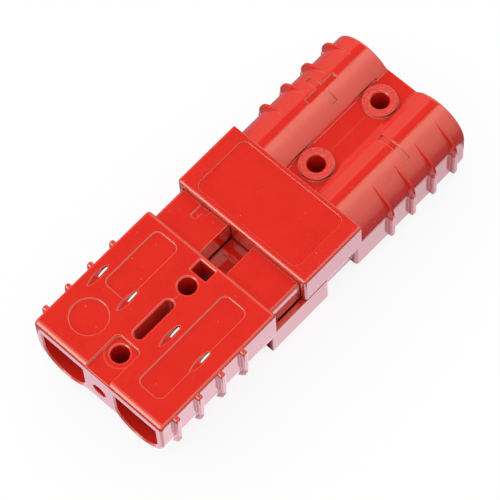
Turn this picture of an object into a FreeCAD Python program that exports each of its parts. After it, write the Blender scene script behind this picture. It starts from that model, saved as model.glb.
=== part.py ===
import FreeCAD, Part
import math
import operator
import os
from types import SimpleNamespace

import Sketcher
from FreeCAD import Placement, Rotation, Vector

# A two-pole genderless power connector: two identical housings that face each other, one
# flat side up and one barrel side up, partly pushed together. Each housing holds two
# silver-plated copper contacts and, behind each contact's blade, a stainless leaf spring.
#
# A housing is modelled in its own frame, in millimetres: x runs from its rear face to its
# mating end, z = 0 is the plane in which the two halves' contacts meet, the flat face lies
# above that plane, and the hood and the two wire barrels lie below it. The far half is the
# same part turned half a turn about the width axis y.

SIZES = {
    # The pair's length, how far its two halves overlap, and how deep they overlap at most
    "pair_length": 90.36,
    "engagement": 6.84,
    "mating_depth": 15.2,
    # Outline of a housing
    "body_width": 34.9,
    "flat_height": 7.63,
    "hood_height": 8.27,
    "hood_root": 1.5,
    "barrel_radius": 7.5,
    "barrel_sink": 0.15,
    "web_depth": 4.8,
    # Rounded edges
    "side_round": 0.6,
    "rear_round": 1.2,
    "plate_front_round": 1.0,
    "hood_round": 0.6,
    "finger_bevel": 0.5,
    "rim_bevel": 0.3,
    # Grip ribs on the side walls and the fins that carry them round the barrels
    "rib_start": 4.0,
    "rib_pitch": 6.4,
    "rib_count": 4,
    "rib_width": 1.4,
    "rib_reach": 1.05,
    "rib_round": 0.35,
    "rib_top_drop": 0.33,
    "rib_foot": 1.0,
    "fin_foot": 1.0,
    "fin_ridge": 0.3,
    "fin_inset": 0.2,
    # Wire entries and the web between them
    "entry_radius": 5.6,
    "entry_top": 4.3,
    "bulkhead": 3.4,
    "barrel_wall": 1.0,
    "web_bore_radius": 1.8,
    "web_bore_depth": 3.0,
    # Mounting holes, their bosses and the clearances cut beside the bosses
    "hole_start": 6.7,
    "front_hole_inset": 7.25,
    "hole_radius": 1.95,
    "boss_radius": 3.75,
    "boss_height": 0.7,
    "boss_pocket_length": 6.6,
    "boss_pocket_bite": 1.65,
    # Hood cavity, fingers and the fit between the two halves
    "finger_top": 6.4,
    "finger_half_width": 16.0,
    "finger_setback": 2.0,
    "notch_half_width": 3.6,
    "side_clearance": 0.2,
    "face_clearance": 0.27,
    "finger_clearance": 0.15,
    "tip_clearance": 0.4,
    "middle_rib_setback": 0.6,
    "rib_recess_inset": 0.9,
    "rib_recess_length": 5.2,
    "rib_recess_depth": 0.4,
    # Marks on the flat face
    "slot_centre": 16.4,
    "slot_length": 10.6,
    "slot_width": 2.3,
    "slot_depth": 9.0,
    "window_inset": 4.1,
    "window_length": 2.8,
    "window_width": 4.0,
    "window_depth": 10.0,
    "slit_start": 12.8,
    "slit_length": 6.2,
    "slit_half_width": 0.75,
    "slit_depth": 0.45,
    "slit_inner": 5.8,
    "slit_outer": 14.0,
    "slit_shift": 0.9,
    "slit_pit_length": 2.6,
    "slit_pit_width": 0.7,
    "slit_pit_depth": 2.0,
    "panel_depth": 0.25,
    "panel_round": 1.5,
    "left_panel_start": 15.5,
    "left_panel_inset": 2.2,
    "left_panel_inner": 6.9,
    "left_panel_outer": 13.15,
    "right_panel_start": 4.45,
    "right_panel_inset": 3.6,
    "right_panel_inner": 6.75,
    "right_panel_outer": 13.1,
    "badge_start": 8.2,
    "badge_radius": 4.1,
    "seat_length": 9.6,
    "seat_half_width": 3.2,
    "seat_depth": 0.58,
    "seat_round": 1.2,
    # Panel on the hood, mark on one finger, plus and minus on the barrels
    "hood_panel_rear": 0.9,
    "hood_panel_front": 1.4,
    "hood_panel_half_width": 13.8,
    "hood_panel_round": 1.6,
    "hood_panel_depth": 0.2,
    "finger_mark_inset": 8.3,
    "finger_mark_length": 4.0,
    "finger_mark_foot_start": 2.0,
    "finger_mark_outer": 10.75,
    "finger_mark_width": 1.4,
    "finger_mark_foot_width": 2.5,
    "finger_mark_depth": 0.2,
    "pole_mark_start": 13.7,
    "pole_mark_length": 8.4,
    "pole_mark_width": 1.4,
    "pole_mark_depth": 0.4,
    # Contacts: a crimp barrel, a wedge and a flat blade with its tip bent back
    "crimp_length": 14.0,
    "crimp_radius": 3.95,
    "crimp_bore_radius": 3.05,
    "crimp_bore_depth": 12.6,
    "crimp_drop": 1.0,
    "wedge_length": 3.0,
    "blade_width": 8.5,
    "blade_thickness": 2.0,
    "blade_setback": 0.9,
    "blade_lip": 0.8,
    "blade_bend": 1.6,
    "blade_rise": 1.28,
    "contact_clearance": 0.05,
    "channel_clearance": 0.3,
    # Leaf springs between a blade and its finger
    "channel_top": 3.6,
    "finger_wall": 0.7,
    "spring_inset": 2.3,
    "spring_setback": 1.2,
    "spring_width": 7.0,
    "spring_thickness": 0.4,
    "spring_tab": 1.0,
    "spring_clearance": 0.05,
}

TOLERANCE = 1e-4
BEVEL_ANGLE = 45
SIGNS = {"+": operator.add, "-": operator.sub, "*": operator.mul, "/": operator.truediv}


class Length:
    """A size, kept both as a number and as the sheet expression that it comes from."""

    def __init__(self, number, text):
        self.number = number
        self.text = text

    def __add__(self, other):
        return combine(self, "+", other)

    def __sub__(self, other):
        return combine(self, "-", other)

    def __mul__(self, other):
        return combine(self, "*", other)

    def __truediv__(self, other):
        return combine(self, "/", other)

    def __neg__(self):
        return combine(0.0, "-", self)


def as_length(size):
    """Returns a Length, also for a plain number."""
    return size if isinstance(size, Length) else Length(float(size), repr(float(size)))


def combine(first, sign, second):
    """Joins two sizes by a sign, in numbers and in words."""
    first, second = as_length(first), as_length(second)
    return Length(SIGNS[sign](first.number, second.number), f"({first.text} {sign} {second.text})")


size = SimpleNamespace(**{name: Length(float(value), "Sizes." + name) for name, value in SIZES.items()})

# Places that follow from the sizes above
housing_length = (size.pair_length + size.engagement) / 2
plate_length = housing_length - size.mating_depth
hood_start = plate_length - size.hood_root
entry_depth = plate_length - size.bulkhead
finger_tip = housing_length - size.finger_setback
half_width = size.body_width / 2
barrel_place = half_width - size.barrel_radius
barrel_bottom = size.barrel_sink - size.hood_height
barrel_level = barrel_bottom + size.barrel_radius
entry_level = barrel_bottom + size.barrel_wall + size.entry_radius
closed_length = plate_length + housing_length
cavity_floor = closed_length - finger_tip - size.tip_clearance
cavity_half_width = size.finger_half_width + size.side_clearance
cavity_bottom = -(size.finger_top + size.face_clearance)
middle_rib_half_width = size.notch_half_width - size.side_clearance
middle_rib_front = housing_length - size.middle_rib_setback
channel_half_width = size.blade_width / 2 + size.channel_clearance
channel_end = finger_tip - size.finger_wall
front_hole = plate_length - size.front_hole_inset
blade_back = size.contact_clearance + size.blade_thickness
wedge_end = entry_depth
crimp_end = wedge_end - size.wedge_length
crimp_start = crimp_end - size.crimp_length
blade_tip = finger_tip - size.blade_setback
spring_start = entry_depth + size.spring_inset
spring_end = blade_tip - size.spring_setback
spring_room = size.spring_thickness + size.spring_clearance * 2
spring_groove_start = spring_start - size.spring_clearance * 2
spring_groove_end = spring_groove_start + spring_room + size.spring_clearance * 2
spring_groove_top = size.channel_top + size.spring_tab + size.spring_clearance


def make_sheet(doc):
    """Writes every driving size into a spreadsheet, one named cell each."""
    sheet = doc.addObject("Spreadsheet::Sheet", "Sizes")
    for row, (name, value) in enumerate(SIZES.items(), 1):
        sheet.set(f"A{row}", name)
        sheet.set(f"B{row}", str(value))
        sheet.setAlias(f"B{row}", name)
    doc.recompute()


def bind(item, prop, wanted):
    """Sets a property and ties it to the sheet."""
    wanted = as_length(wanted)
    if "." not in prop:
        setattr(item, prop, wanted.number)
    item.setExpression(prop, wanted.text)


def draw(body, name, plane, offset=0.0):
    """Starts a sketch on one of the body's own planes, moved along that plane's normal."""
    sketch = body.newObject("Sketcher::SketchObject", name)
    support = next(item for item in body.Origin.OriginFeatures if item.Role == plane)
    sketch.AttachmentSupport = [(support, "")]
    sketch.MapMode = "FlatFace"
    bind(sketch, "AttachmentOffset.Base.z", offset)
    return sketch


def constrain(sketch, kind, places, wanted):
    """Adds a constraint whose value is tied to the sheet."""
    wanted = as_length(wanted)
    index = sketch.addConstraint(Sketcher.Constraint(kind, *places, wanted.number))
    sketch.setExpression(f"Constraints[{index}]", wanted.text)


def pin(sketch, item, vertex, across, up):
    """Ties one point of the sketch to its distances from the origin."""
    constrain(sketch, "DistanceX", (-1, 1, item, vertex), across)
    constrain(sketch, "DistanceY", (-1, 1, item, vertex), up)


def meet(sketch, kind, first, first_vertex, second, second_vertex):
    """Joins two ends of a sketch: Coincident, or Tangent where the line runs on smoothly."""
    sketch.addConstraint(Sketcher.Constraint(kind, first, first_vertex, second, second_vertex))


def spot(across, up):
    return Vector(as_length(across).number, as_length(up).number, 0)


def line(sketch, start, end):
    return sketch.addGeometry(Part.LineSegment(spot(*start), spot(*end)), False)


def arc(sketch, centre, radius, from_angle, to_angle):
    circle = Part.Circle(spot(*centre), Vector(0, 0, 1), as_length(radius).number)
    return sketch.addGeometry(Part.ArcOfCircle(circle, from_angle, to_angle), False)


def add_circle(sketch, centre, radius):
    item = sketch.addGeometry(Part.Circle(spot(*centre), Vector(0, 0, 1), as_length(radius).number), False)
    pin(sketch, item, 3, *centre)
    constrain(sketch, "Radius", (item,), radius)


def add_polygon(sketch, corners):
    """Draws a closed outline of straight lines and ties each of its corners."""
    sides = [line(sketch, a, b) for a, b in zip(corners, corners[1:] + corners[:1])]
    for before, side, corner in zip(sides[-1:] + sides[:-1], sides, corners):
        meet(sketch, "Coincident", before, 2, side, 1)
        pin(sketch, side, 1, *corner)


def add_rectangle(sketch, left, right, bottom, top):
    add_polygon(sketch, [(left, bottom), (right, bottom), (right, top), (left, top)])


def add_rounded_rectangle(sketch, left, right, bottom, top, radius):
    """Draws a rectangle with four equal round corners, each corner's centre tied."""
    inner = [
        (right - radius, bottom + radius),
        (right - radius, top - radius),
        (left + radius, top - radius),
        (left + radius, bottom + radius),
    ]
    rims = [(left + radius, bottom), (right, bottom + radius), (right - radius, top), (left, top - radius)]
    ends = [(right - radius, bottom), (right, top - radius), (left + radius, top), (left, bottom + radius)]
    sides = [line(sketch, a, b) for a, b in zip(rims, ends)]
    turns = [
        arc(sketch, centre, radius, (step - 1) * math.pi / 2, step * math.pi / 2)
        for step, centre in enumerate(inner)
    ]
    for step, (side, turn, centre) in enumerate(zip(sides, turns, inner)):
        meet(sketch, "Tangent", side, 2, turn, 1)
        meet(sketch, "Tangent", turn, 2, sides[(step + 1) % 4], 1)
        pin(sketch, turn, 3, *centre)
        constrain(sketch, "Radius", (turn,), radius)


def add_stadium(sketch, start, end, radius):
    """Draws a slot with round ends between two centres."""
    a, b = spot(*start), spot(*end)
    heading = math.atan2(b.y - a.y, b.x - a.x)
    aside = Vector(-math.sin(heading), math.cos(heading), 0) * radius.number
    right = sketch.addGeometry(Part.LineSegment(a - aside, b - aside), False)
    nose = arc(sketch, end, radius, heading - math.pi / 2, heading + math.pi / 2)
    left = sketch.addGeometry(Part.LineSegment(b + aside, a + aside), False)
    tail = arc(sketch, start, radius, heading + math.pi / 2, heading + 3 * math.pi / 2)
    for first, second in ((right, nose), (nose, left), (left, tail), (tail, right)):
        meet(sketch, "Tangent", first, 2, second, 1)
    pin(sketch, nose, 3, *end)
    pin(sketch, tail, 3, *start)
    constrain(sketch, "Radius", (nose,), radius)
    sketch.addConstraint(Sketcher.Constraint("Equal", nose, tail))


def add_lens(sketch, start, end, level, half_width_of_lens):
    """Draws two shallow arcs that meet in a point at each end."""
    span = end - start
    radius = (span * span / 4 + half_width_of_lens * half_width_of_lens) / (half_width_of_lens * 2)
    reach = math.asin(span.number / 2 / radius.number)
    middle = (start + end) / 2
    for side in (1, -1):
        centre = (middle, level - (radius - half_width_of_lens) * side)
        up = side * math.pi / 2
        curve = arc(sketch, centre, radius, up - reach, up + reach)
        constrain(sketch, "Radius", (curve,), radius)
        if side == 1:
            upper = curve
            pin(sketch, curve, 1, end, level)
            pin(sketch, curve, 2, start, level)
    meet(sketch, "Coincident", upper, 1, curve, 2)
    meet(sketch, "Coincident", upper, 2, curve, 1)


def add_entry(sketch, across, level, radius, top):
    """Draws a flat-topped opening whose lower end is a half circle."""
    roof = line(sketch, (across - radius, top), (across + radius, top))
    right = line(sketch, (across + radius, top), (across + radius, level))
    bowl = arc(sketch, (across, level), radius, math.pi, 2 * math.pi)
    left = line(sketch, (across - radius, level), (across - radius, top))
    pin(sketch, roof, 1, across - radius, top)
    pin(sketch, roof, 2, across + radius, top)
    pin(sketch, bowl, 3, across, level)
    constrain(sketch, "Radius", (bowl,), radius)
    for vertex in (1, 2):
        constrain(sketch, "DistanceY", (-1, 1, bowl, vertex), level)
    meet(sketch, "Coincident", roof, 2, right, 1)
    meet(sketch, "Coincident", right, 2, bowl, 2)
    meet(sketch, "Coincident", bowl, 1, left, 1)
    meet(sketch, "Coincident", left, 2, roof, 1)


def settle(body, feature, growth):
    """Recomputes, makes the feature the body's tip and checks that it did what it should."""
    before = body.Shape.Volume if body.Shape.Solids else 0.0
    body.Tip = feature
    body.Document.recompute()
    change = body.Shape.Volume - before
    if not feature.isValid() or change * growth <= 0:
        raise RuntimeError(f"{body.Label}: {feature.Name} changed the volume by {change:.3f}")
    return feature


def pad(body, sketch, length, symmetric=False):
    feature = body.newObject("PartDesign::Pad", sketch.Name + "_pad")
    feature.Profile = sketch
    feature.SideType = "Symmetric" if symmetric else "One side"
    bind(feature, "Length", length)
    return settle(body, feature, 1)


def cut(body, sketch, depth, upwards=False, symmetric=False, taper=0):
    """Cuts a sketch into the body, against the sketch's normal or, upwards, along it."""
    feature = body.newObject("PartDesign::Pocket", sketch.Name + "_cut")
    feature.Profile = sketch
    feature.SideType = "Symmetric" if symmetric else "One side"
    feature.Reversed = upwards
    feature.TaperAngle = taper
    bind(feature, "Length", depth)
    return settle(body, feature, -1)


def turn_pad(body, sketch):
    """Turns a sketch right round its own first construction line."""
    feature = body.newObject("PartDesign::Revolution", sketch.Name + "_turned")
    feature.Profile = sketch
    feature.ReferenceAxis = (sketch, ["Axis0"])
    feature.Angle = 360
    return settle(body, feature, 1)


def turn_cut(body, sketch, angle):
    """Cuts a sketch round its own first construction line, half the angle to each side."""
    feature = body.newObject("PartDesign::Groove", sketch.Name + "_cut")
    feature.Profile = sketch
    feature.ReferenceAxis = (sketch, ["Axis0"])
    feature.Midplane = True
    bind(feature, "Angle", angle)
    return settle(body, feature, -1)


def repeat(body, feature, pitch, count, growth):
    """Repeats a feature along the housing's length."""
    pattern = body.newObject("PartDesign::LinearPattern", feature.Name + "_row")
    pattern.Originals = [feature]
    axis = next(item for item in body.Origin.OriginFeatures if item.Role == "X_Axis")
    pattern.Direction = (axis, [""])
    bind(pattern, "Length", pitch * (count - 1))
    pattern.Occurrences = int(count.number)
    pattern.setExpression("Occurrences", count.text)
    return settle(body, pattern, growth)


def flat_in(edge, **places):
    """Says whether an edge lies wholly at the given x, y or z."""
    box = edge.BoundBox
    limits = {"x": (box.XMin, box.XMax), "y": (box.YMin, box.YMax), "z": (box.ZMin, box.ZMax)}
    return all(
        abs(limit - as_length(place).number) < TOLERANCE
        for axis, place in places.items()
        for limit in limits[axis]
    )


def dress(body, kind, name, wanted_size, chosen):
    """Rounds (Fillet) or bevels (Chamfer) the tip's edges that chosen() picks."""
    base = body.Tip
    names = [f"Edge{n}" for n, edge in enumerate(base.Shape.Edges, 1) if chosen(edge)]
    if not names:
        raise RuntimeError(f"{body.Label}: {name} finds no edge")
    feature = body.newObject("PartDesign::" + kind, name)
    feature.Base = (base, names)
    bind(feature, {"Fillet": "Radius", "Chamfer": "Size"}[kind], wanted_size)
    return settle(body, feature, -1)


def is_rim(edge, radius):
    """Says whether an edge is a full circle of the given radius, by its length."""
    return edge.Closed and abs(edge.Length - 2 * math.pi * radius.number) < TOLERANCE


def make_section(body):
    """Flat block, both barrels and the web between them, as one extruded section."""
    sketch = draw(body, "section", "YZ_Plane")
    drop = size.web_depth + barrel_level
    lean = math.asin(drop.number / size.barrel_radius.number)
    web_half = barrel_place - size.barrel_radius * math.cos(lean)
    roof = line(sketch, (half_width, size.flat_height), (-half_width, size.flat_height))
    floor = line(sketch, (-web_half, -size.web_depth), (web_half, -size.web_depth))
    pin(sketch, roof, 1, half_width, size.flat_height)
    pin(sketch, roof, 2, -half_width, size.flat_height)
    for side, roof_end, floor_end in ((1, 1, 2), (-1, 2, 1)):
        place = barrel_place * side
        wall = line(sketch, (half_width * side, size.flat_height), (half_width * side, barrel_level))
        angles = (math.pi + lean, 2 * math.pi) if side == 1 else (math.pi, 2 * math.pi - lean)
        bowl = arc(sketch, (place, barrel_level), size.barrel_radius, *angles)
        outer, inner = (2, 1) if side == 1 else (1, 2)
        pin(sketch, bowl, 3, place, barrel_level)
        constrain(sketch, "Radius", (bowl,), size.barrel_radius)
        constrain(sketch, "DistanceY", (-1, 1, bowl, outer), barrel_level)
        constrain(sketch, "DistanceY", (-1, 1, bowl, inner), -size.web_depth)
        meet(sketch, "Coincident", wall, 1, roof, roof_end)
        meet(sketch, "Coincident", wall, 2, bowl, outer)
        meet(sketch, "Coincident", bowl, inner, floor, floor_end)
    pad(body, sketch, plate_length)


def round_section(body):
    """Rounds the flat face's ends, then its sides, corners and the barrels' rear rims."""
    ends = (
        ("rear_edge", 0, size.rear_round),
        ("front_edge", plate_length, size.plate_front_round),
    )
    for name, place, radius in ends:
        dress(body, "Fillet", name, radius, lambda e: flat_in(e, x=place, z=size.flat_height))

    def on_side(edge):
        on_wall = flat_in(edge, y=half_width) or flat_in(edge, y=-half_width)
        return on_wall and not flat_in(edge, z=barrel_level)

    dress(body, "Fillet", "side_edges", size.side_round, on_side)


def make_hood(body):
    """Block that becomes the hood round the mate's fingers, with its outer edges rounded."""
    sketch = draw(body, "hood", "XZ_Plane")
    top = -size.face_clearance
    add_rectangle(sketch, hood_start, housing_length, -size.hood_height, top)
    pad(body, sketch, size.body_width, symmetric=True)

    def nose(edge):
        return flat_in(edge, x=housing_length, z=-size.hood_height)

    dress(body, "Fillet", "hood_nose", size.hood_round, nose)

    def on_side(edge):
        on_wall = flat_in(edge, y=half_width) or flat_in(edge, y=-half_width)
        under = edge.BoundBox.ZMax < top.number + TOLERANCE
        level = flat_in(edge, z=top) or flat_in(edge, x=hood_start)
        return on_wall and under and not level

    dress(body, "Fillet", "hood_sides", size.hood_round, on_side)


def make_ribs(body):
    """Upright bars on both side walls, and the fins that run on from them round the barrels.

    A fin is the rim of a disc that stands out of its barrel, set off towards the side wall, so
    it grows from nothing near the barrel's crest to the bar's full reach. Its sides slope.
    """
    radius = size.rib_width / 2
    reach = half_width + size.rib_reach
    bars = draw(body, "rib", "XZ_Plane")
    low = (size.rib_start, radius - size.rib_foot)
    high = (size.rib_start, size.flat_height - size.rib_top_drop - radius)
    add_stadium(bars, low, high, radius)
    repeat(body, pad(body, bars, reach * 2, symmetric=True), size.rib_pitch, size.rib_count, 1)
    dress(
        body,
        "Fillet",
        "rib_edges",
        size.rib_round,
        lambda e: flat_in(e, y=reach) or flat_in(e, y=-reach),
    )
    fin_radius = size.barrel_radius - size.fin_inset
    ridge_level = barrel_level - fin_radius
    foot_level = ridge_level + size.rib_reach
    rear, front = size.rib_start - size.fin_foot / 2, size.rib_start + size.fin_foot / 2
    ridge_rear, ridge_front = size.rib_start - size.fin_ridge / 2, size.rib_start + size.fin_ridge / 2
    for name, side in (("fin_plus", 1), ("fin_minus", -1)):
        fin = draw(body, name, "XZ_Plane", (fin_radius - reach) * side)
        axis = line(fin, (rear, barrel_level), (front, barrel_level))
        fin.toggleConstruction(axis)
        pin(fin, axis, 1, rear, barrel_level)
        pin(fin, axis, 2, front, barrel_level)
        add_polygon(
            fin,
            [
                (rear, barrel_level),
                (rear, foot_level),
                (ridge_rear, ridge_level),
                (ridge_front, ridge_level),
                (front, foot_level),
                (front, barrel_level),
            ],
        )
        repeat(body, turn_pad(body, fin), size.rib_pitch, size.rib_count, 1)


def make_bosses(body):
    """Pockets beside the mounting holes, and a round boss in each."""
    pockets = draw(body, "boss_pocket", "XY_Plane", -size.web_depth)
    bosses = draw(body, "boss", "XY_Plane", -(size.web_depth + size.boss_height))
    half = size.boss_pocket_length / 2
    side = barrel_place - size.barrel_radius + size.boss_pocket_bite
    for place in (size.hole_start, front_hole):
        add_rectangle(pockets, place - half, place + half, -side, side)
        add_circle(bosses, (place, 0), size.boss_radius)
    cut(body, pockets, size.hood_height)
    pad(body, bosses, size.boss_height + size.barrel_wall)


def make_entries(body):
    """Wire entries from the rear, with bevelled mouths, and the bore in the web."""
    entries = draw(body, "entries", "YZ_Plane")
    for side in (1, -1):
        add_entry(entries, barrel_place * side, entry_level, size.entry_radius, size.entry_top)
    cut(body, entries, entry_depth, upwards=True)
    bore = draw(body, "web_bore", "YZ_Plane")
    add_circle(bore, (0, 0), size.web_bore_radius)
    cut(body, bore, size.web_bore_depth, upwards=True)

    def at_mouth(edge):
        inside = abs(edge.BoundBox.Center.y) > size.web_bore_radius.number
        near = edge.BoundBox.ZMax < (size.entry_top + TOLERANCE).number
        low = edge.BoundBox.ZMin > (entry_level - size.entry_radius - TOLERANCE).number
        return flat_in(edge, x=0) and inside and near and low

    dress(body, "Chamfer", "mouth_bevel", size.rim_bevel, at_mouth)


def make_mating_end(body):
    """Cavities under the hood, the rib between them, and the two fingers beside the notch."""
    cavities = draw(body, "hood_cavities", "YZ_Plane", cavity_floor)
    for side in (1, -1):
        inner = middle_rib_half_width * side
        outer = cavity_half_width * side
        add_rectangle(cavities, inner, outer, cavity_bottom, size.finger_clearance)
    cut(body, cavities, housing_length - cavity_floor, upwards=True)
    setback = draw(body, "middle_rib_front", "YZ_Plane", middle_rib_front)
    wide = size.notch_half_width
    add_rectangle(setback, -wide, wide, cavity_bottom, size.finger_clearance)
    cut(body, setback, size.middle_rib_setback, upwards=True)
    hollow = draw(body, "middle_rib_recess", "XY_Plane", -size.face_clearance)
    edge = middle_rib_half_width - size.rib_recess_inset
    start = plate_length
    add_rectangle(hollow, start, start + size.rib_recess_length, -edge, edge)
    cut(body, hollow, size.rib_recess_depth)

    fingers = draw(body, "fingers", "YZ_Plane", entry_depth)
    for side in (1, -1):
        inner = size.notch_half_width * side
        outer = size.finger_half_width * side
        add_rectangle(fingers, inner, outer, size.finger_clearance, size.finger_top)
    pad(body, fingers, finger_tip - entry_depth)

    def finger_edge(edge):
        box = edge.BoundBox
        ahead = box.XMin > (plate_length - TOLERANCE).number
        top = flat_in(edge, z=size.finger_top)
        sideways = flat_in(edge, y=size.finger_half_width) or flat_in(edge, y=-size.finger_half_width)
        return ahead and top and (sideways or flat_in(edge, x=finger_tip))

    dress(body, "Chamfer", "finger_bevels", size.finger_bevel, finger_edge)


def make_channels(body):
    """Channels for blade and spring through the bulkhead and along each finger."""
    channels = draw(body, "channels", "XY_Plane", size.channel_top)
    grooves = draw(body, "spring_grooves", "XY_Plane", spring_groove_top)
    for side in (1, -1):
        place = barrel_place * side
        inner, outer = place - channel_half_width, place + channel_half_width
        add_rectangle(channels, entry_depth - size.barrel_wall, channel_end, inner, outer)
        add_rectangle(grooves, spring_groove_start, spring_groove_end, inner, outer)
    cut(body, channels, size.channel_top + size.finger_clearance)
    cut(body, grooves, spring_groove_top - size.channel_top)


def make_holes(body):
    """Two mounting holes right through, with bevelled rims, and the seat round the rear one."""
    seat = draw(body, "seat", "XY_Plane", size.flat_height)
    corner = size.seat_round
    beyond = -corner * 2
    half = size.seat_half_width
    add_rounded_rectangle(seat, beyond, size.seat_length, -half, half, corner)
    cut(body, seat, size.seat_depth)
    holes = draw(body, "holes", "XY_Plane", size.flat_height)
    for place in (size.hole_start, front_hole):
        add_circle(holes, (place, 0), size.hole_radius)
    cut(body, holes, size.flat_height + size.hood_height)
    dress(body, "Chamfer", "hole_rims", size.rim_bevel, lambda e: is_rim(e, size.hole_radius))


def make_flat_marks(body):
    """Slot, window, four slits, two bare panels and a bare round field on the flat face."""
    level = size.flat_height
    radius = size.slot_width / 2
    reach = size.slot_length / 2 - radius
    ends = ((size.slot_centre - reach, 0), (size.slot_centre + reach, 0))
    half = size.window_width / 2
    window_start = plate_length - size.window_inset
    window = (window_start, window_start + size.window_length, -half, half)
    bevel = size.rim_bevel
    rims = draw(body, "slot_rim", "XY_Plane", level)
    add_stadium(rims, *ends, radius + bevel)
    cut(body, rims, bevel, taper=-BEVEL_ANGLE)
    frame = draw(body, "window_rim", "XY_Plane", level)
    add_rectangle(frame, window[0] - bevel, window[1] + bevel, window[2] - bevel, window[3] + bevel)
    cut(body, frame, bevel, taper=-BEVEL_ANGLE)
    slot = draw(body, "slot", "XY_Plane", level)
    add_stadium(slot, *ends, radius)
    cut(body, slot, size.slot_depth)
    hole = draw(body, "window", "XY_Plane", level)
    add_rectangle(hole, *window)
    cut(body, hole, size.window_depth)

    panels = draw(body, "panels", "XY_Plane", level)
    left_end = plate_length - size.left_panel_inset
    right_end = plate_length - size.right_panel_inset
    left = (size.left_panel_start, left_end, size.left_panel_inner, size.left_panel_outer)
    right = (size.right_panel_start, right_end, -size.right_panel_outer, -size.right_panel_inner)
    for edges in (left, right):
        add_rounded_rectangle(panels, *edges, size.panel_round)
    add_circle(panels, (size.badge_start, barrel_place), size.badge_radius)
    cut(body, panels, size.panel_depth)

    slits = draw(body, "slits", "XY_Plane", level)
    pits = draw(body, "slit_pits", "XY_Plane", level)
    slit_end = size.slit_start + size.slit_length
    middle = (size.slit_start + slit_end) / 2
    for place in (size.slit_outer, size.slit_inner, -size.slit_inner, -size.slit_outer):
        row = size.slit_shift + place
        add_lens(slits, size.slit_start, slit_end, row, size.slit_half_width)
        half = size.slit_pit_width / 2
        add_rectangle(pits, middle, middle + size.slit_pit_length, row - half, row + half)
    cut(body, slits, size.slit_depth)
    cut(body, pits, size.slit_pit_depth)


def make_other_marks(body):
    """Bare panel on the hood, mark on one finger, and the plus and minus on the barrels."""
    panel = draw(body, "hood_panel", "XY_Plane", -size.hood_height)
    rear = hood_start + size.hood_panel_rear
    front = housing_length - size.hood_panel_front
    wide = size.hood_panel_half_width
    add_rounded_rectangle(panel, rear, front, -wide, wide, size.hood_panel_round)
    cut(body, panel, size.hood_panel_depth, upwards=True)
    finger_mark = draw(body, "finger_mark", "XY_Plane", size.finger_top)
    begin = finger_tip - size.finger_mark_inset
    foot = begin + size.finger_mark_foot_start
    end = begin + size.finger_mark_length
    outer = size.finger_mark_outer
    stem_inner = outer - size.finger_mark_width
    foot_inner = outer - size.finger_mark_foot_width
    add_polygon(
        finger_mark,
        [
            (begin, stem_inner),
            (foot, stem_inner),
            (foot, foot_inner),
            (end, foot_inner),
            (end, outer),
            (begin, outer),
        ],
    )
    cut(body, finger_mark, size.finger_mark_depth)
    half = size.pole_mark_length / 2
    stroke = size.pole_mark_width / 2
    for name, side, across, length in (
        ("minus_bar", -1, stroke, size.pole_mark_length),
        ("plus_bar", 1, stroke, size.pole_mark_length),
        ("plus_stem", 1, half, size.pole_mark_width),
    ):
        sketch = draw(body, name, "XZ_Plane", -barrel_place * side)
        axis = line(sketch, (0, barrel_level), (size.pole_mark_start, barrel_level))
        sketch.toggleConstruction(axis)
        pin(sketch, axis, 1, 0, barrel_level)
        pin(sketch, axis, 2, size.pole_mark_start, barrel_level)
        begin, end = size.pole_mark_start - across, size.pole_mark_start + across
        skin = barrel_bottom + size.pole_mark_depth
        add_rectangle(sketch, begin, end, barrel_bottom - size.barrel_wall, skin)
        turn_cut(body, sketch, length / size.barrel_radius * math.degrees(1))


def make_housing(doc, name):
    """One moulded housing, rear end at x = 0 and contacts' meeting plane at z = 0."""
    body = doc.addObject("PartDesign::Body", name)
    body.Label = name
    make_section(body)
    round_section(body)
    make_hood(body)
    make_ribs(body)
    make_bosses(body)
    make_entries(body)
    make_mating_end(body)
    make_channels(body)
    make_holes(body)
    make_flat_marks(body)
    make_other_marks(body)
    return body


def make_contact(doc, name, side):
    """Crimp barrel, wedge and blade; the blade's lower face is the contact face."""
    body = doc.addObject("PartDesign::Body", name)
    body.Label = name
    place = barrel_place * side
    level = -size.crimp_drop
    tube = draw(body, "tube", "YZ_Plane", crimp_start)
    add_circle(tube, (place, level), size.crimp_radius)
    pad(body, tube, size.crimp_length + size.wedge_length)
    face, back = size.contact_clearance, blade_back
    wedge = draw(body, "wedge", "XZ_Plane", -place)
    beyond = size.crimp_radius * 2
    above, below = level + beyond, level - beyond
    upper = level + size.crimp_radius
    lower = level - size.crimp_radius
    add_polygon(wedge, [(crimp_end, upper), (wedge_end, back), (wedge_end, above), (crimp_end, above)])
    add_polygon(wedge, [(crimp_end, lower), (crimp_end, below), (wedge_end, below), (wedge_end, face)])
    cut(body, wedge, beyond * 2, symmetric=True)
    blade = draw(body, "blade", "XZ_Plane", -place)
    turn_up = blade_tip - size.blade_bend
    hook = size.channel_top - size.channel_clearance
    outline = [
        (crimp_end, face),
        (turn_up, face),
        (blade_tip, face + size.blade_rise),
        (blade_tip, hook),
        (blade_tip - size.blade_lip, hook),
        (blade_tip - size.blade_lip, back),
        (crimp_end, back),
    ]
    add_polygon(blade, outline)
    pad(body, blade, size.blade_width, symmetric=True)
    dress(body, "Fillet", "blade_bend", size.blade_thickness / 2, lambda e: flat_in(e, x=turn_up, z=face))
    bore = draw(body, "crimp_bore", "YZ_Plane", crimp_start)
    add_circle(bore, (place, level), size.crimp_bore_radius)
    cut(body, bore, size.crimp_bore_depth, upwards=True)

    def mouth(edge):
        return is_rim(edge, size.crimp_bore_radius) and flat_in(edge, x=crimp_start)

    dress(body, "Chamfer", "crimp_mouth", size.rim_bevel, mouth)
    return body


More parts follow.
